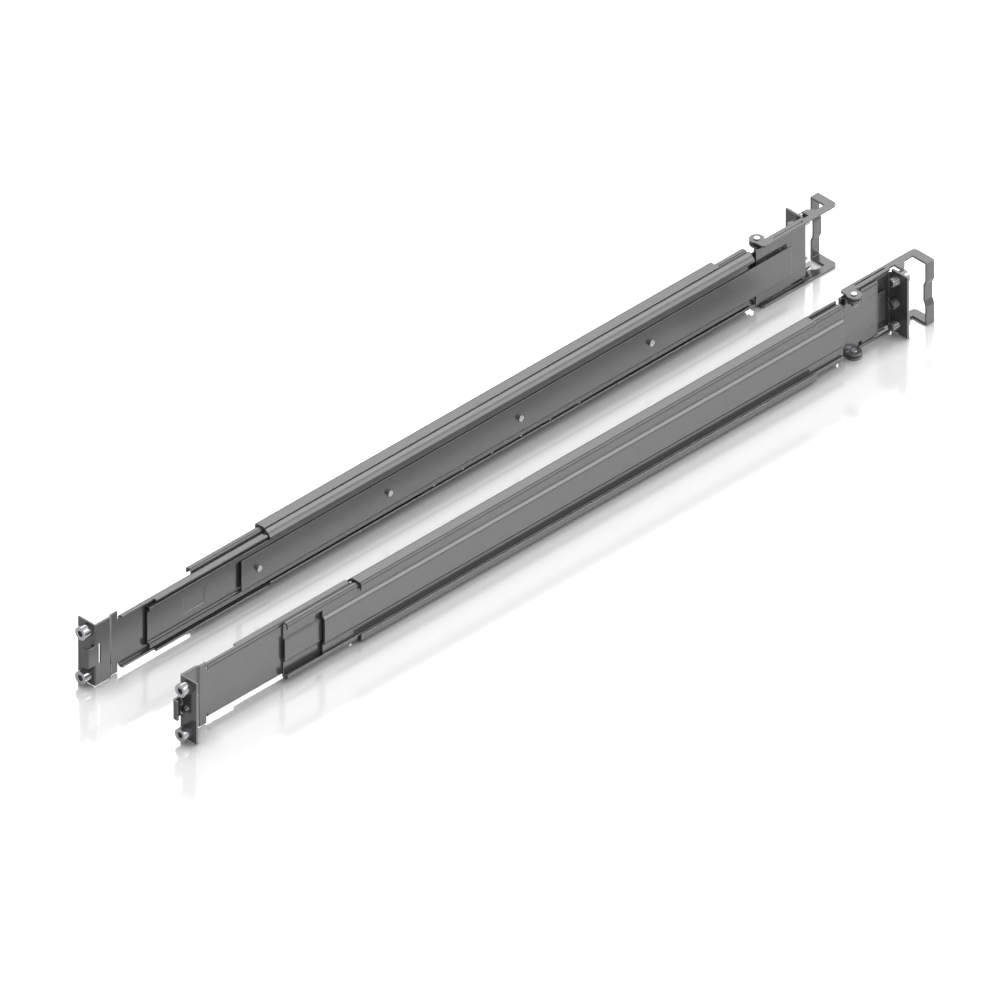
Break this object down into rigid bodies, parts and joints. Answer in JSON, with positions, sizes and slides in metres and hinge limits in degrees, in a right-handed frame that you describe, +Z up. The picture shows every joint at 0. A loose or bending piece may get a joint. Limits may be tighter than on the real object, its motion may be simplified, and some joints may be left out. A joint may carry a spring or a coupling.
{
  "type": "sliding server rail pair",
  "caption": "Pair of telescopic ball bearing rails for a rack server, zinc plated sheet steel, with spring latches and round posts at both ends.",
  "frame": {"origin": "centre of the pair's bounding box in plan, on the floor", "axes": "+X to the right rail, +Y from the front flanges to the rear, +Z up"},
  "size_m": [0.1016, 0.6218, 0.0452],
  "materials": {
    "zinc_sheet": "zinc plated, satin",
    "latch_steel": "zinc plated, bright",
    "turned_steel": "nickel plated",
    "bearing_steel": "polished",
    "spring_steel": "drawn wire",
    "cage_steel": "stamped",
    "bumper_plastic": "matte"
  },
  "bodies": {
    "rails": {"right_front_bracket": "zinc_sheet", "right_front_posts": "turned_steel", "right_front_latch_mount": "zinc_sheet", "right_front_latch_pin": "turned_steel", "right_front_latch_spring": "spring_steel", "right_carrier_channel": "zinc_sheet", "right_support_channel": "zinc_sheet", "right_slide_outer_member": "zinc_sheet", "right_web_rivets": "zinc_sheet", "right_closing_bumper": "bumper_plastic", "left_front_bracket": "zinc_sheet", "left_front_posts": "turned_steel", "left_front_latch_mount": "zinc_sheet", "left_front_latch_pin": "turned_steel", "left_front_latch_spring": "spring_steel", "left_carrier_channel": "zinc_sheet", "left_support_channel": "zinc_sheet", "left_slide_outer_member": "zinc_sheet", "left_web_rivets": "zinc_sheet", "left_closing_bumper": "bumper_plastic"},
    "right_rear": {"right_rear_extension": "zinc_sheet", "right_rear_bracket": "zinc_sheet", "right_rear_rivets": "zinc_sheet", "right_rear_posts": "turned_steel", "right_rear_latch_pins": "turned_steel", "right_rear_latch_spring": "spring_steel"},
    "right_rear_hook": {"right_rear_latch": "latch_steel"},
    "right_front_hook": {"right_front_latch": "latch_steel"},
    "right_middle": {"right_middle_member": "zinc_sheet"},
    "right_inner": {"right_inner_member": "zinc_sheet", "right_chassis_studs": "turned_steel"},
    "right_outer_bearing": {"right_outer_ball_cages": "cage_steel", "right_outer_balls": "bearing_steel"},
    "right_inner_bearing": {"right_inner_ball_cage": "cage_steel", "right_inner_balls": "bearing_steel"},
    "left_rear": {"left_rear_extension": "zinc_sheet", "left_rear_bracket": "zinc_sheet", "left_rear_rivets": "zinc_sheet", "left_rear_posts": "turned_steel", "left_rear_latch_pins": "turned_steel", "left_rear_latch_spring": "spring_steel"},
    "left_rear_hook": {"left_rear_latch": "latch_steel"},
    "left_front_hook": {"left_front_latch": "latch_steel"},
    "left_middle": {"left_middle_member": "zinc_sheet"},
    "left_inner": {"left_inner_member": "zinc_sheet", "left_chassis_studs": "turned_steel"},
    "left_outer_bearing": {"left_outer_ball_cages": "cage_steel", "left_outer_balls": "bearing_steel"},
    "left_inner_bearing": {"left_inner_ball_cage": "cage_steel", "left_inner_balls": "bearing_steel"}
  },
  "joints": [
    {"name": "right_rear_slide", "type": "slide", "parent": "rails", "child": "right_rear", "axis": [0, 1, 0], "range_m": [0, 0.3]},
    {"name": "right_middle_slide", "type": "slide", "parent": "rails", "child": "right_middle", "axis": [0, -1, 0], "range_m": [0, 0.25]},
    {"name": "right_inner_slide", "type": "slide", "parent": "right_middle", "child": "right_inner", "axis": [0, -1, 0], "range_m": [0, 0.3]},
    {"name": "right_outer_bearing_slide", "type": "slide", "parent": "rails", "child": "right_outer_bearing", "axis": [0, -1, 0], "range_m": [0, 0.125]},
    {"name": "right_inner_bearing_slide", "type": "slide", "parent": "right_middle", "child": "right_inner_bearing", "axis": [0, -1, 0], "range_m": [0, 0.15]},
    {"name": "right_rear_hook_hinge", "type": "hinge", "parent": "right_rear", "child": "right_rear_hook", "pos_m": [0.0405, 0.2519, 0.0223], "axis": [0, 0, 1], "range_deg": [0, 20], "stiffness_Nm_per_rad": 0.3},
    {"name": "right_front_hook_hinge", "type": "hinge", "parent": "rails", "child": "right_front_hook", "pos_m": [0.0446, -0.3008, 0.0223], "axis": [0, 0, 1], "range_deg": [0, 6], "stiffness_Nm_per_rad": 0.1},
    {"name": "left_rear_slide", "type": "slide", "parent": "rails", "child": "left_rear", "axis": [0, 1, 0], "range_m": [0, 0.3]},
    {"name": "left_middle_slide", "type": "slide", "parent": "rails", "child": "left_middle", "axis": [0, -1, 0], "range_m": [0, 0.25]},
    {"name": "left_inner_slide", "type": "slide", "parent": "left_middle", "child": "left_inner", "axis": [0, -1, 0], "range_m": [0, 0.3]},
    {"name": "left_outer_bearing_slide", "type": "slide", "parent": "rails", "child": "left_outer_bearing", "axis": [0, -1, 0], "range_m": [0, 0.125]},
    {"name": "left_inner_bearing_slide", "type": "slide", "parent": "left_middle", "child": "left_inner_bearing", "axis": [0, -1, 0], "range_m": [0, 0.15]},
    {"name": "left_rear_hook_hinge", "type": "hinge", "parent": "left_rear", "child": "left_rear_hook", "pos_m": [-0.0405, 0.2519, 0.0223], "axis": [0, 0, -1], "range_deg": [0, 20], "stiffness_Nm_per_rad": 0.3},
    {"name": "left_front_hook_hinge", "type": "hinge", "parent": "rails", "child": "left_front_hook", "pos_m": [-0.0446, -0.3008, 0.0223], "axis": [0, 0, -1], "range_deg": [0, 6], "stiffness_Nm_per_rad": 0.1}
  ],
  "couplings": [
    {"joint": "right_outer_bearing_slide", "follows": "right_middle_slide", "ratio": 0.5},
    {"joint": "right_inner_bearing_slide", "follows": "right_inner_slide", "ratio": 0.5},
    {"joint": "left_outer_bearing_slide", "follows": "left_middle_slide", "ratio": 0.5},
    {"joint": "left_inner_bearing_slide", "follows": "left_inner_slide", "ratio": 0.5}
  ]
}
